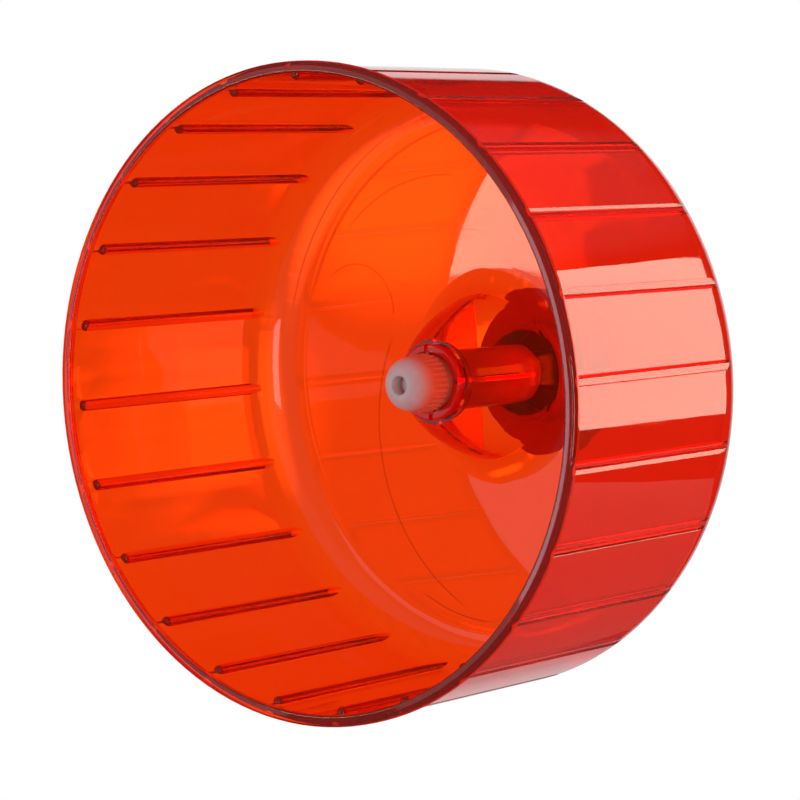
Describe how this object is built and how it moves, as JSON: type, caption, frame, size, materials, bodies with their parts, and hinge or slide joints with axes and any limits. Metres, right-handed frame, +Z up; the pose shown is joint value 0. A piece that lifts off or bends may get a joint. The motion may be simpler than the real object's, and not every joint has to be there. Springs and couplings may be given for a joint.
{
  "type": "hamster wheel",
  "caption": "Clear moulded drum with half-round rungs inside, turning on a steel pin that a round wall base carries.",
  "frame": {"origin": "on the wheel's axis, at the base's back face, which lies on the wall", "axes": "+Y into the wall along the wheel's axis, so the wheel's open front faces -Y; +Z up; +X to the right of someone facing the wall"},
  "size_m": [0.14, 0.084, 0.14],
  "materials": {
    "clear_orange": "clear coloured moulding, polished",
    "clear_red": "clear coloured moulding, polished",
    "nylon": "natural, satin",
    "steel": "ground",
    "base_red": "moulded, glossy"
  },
  "bodies": {
    "base": {"mount_base": "base_red", "axle_pin": "steel", "thrust_washer": "steel", "retaining_clip": "steel"},
    "wheel": {"running_drum": "clear_orange", "hub_sleeve": "clear_red", "nose_bush": "nylon", "rear_bush": "nylon"}
  },
  "joints": [
    {"name": "wheel_spin", "type": "hinge", "parent": "base", "child": "wheel", "pos_m": [0, 0, 0], "axis": [0, 1, 0], "continuous": true}
  ]
}
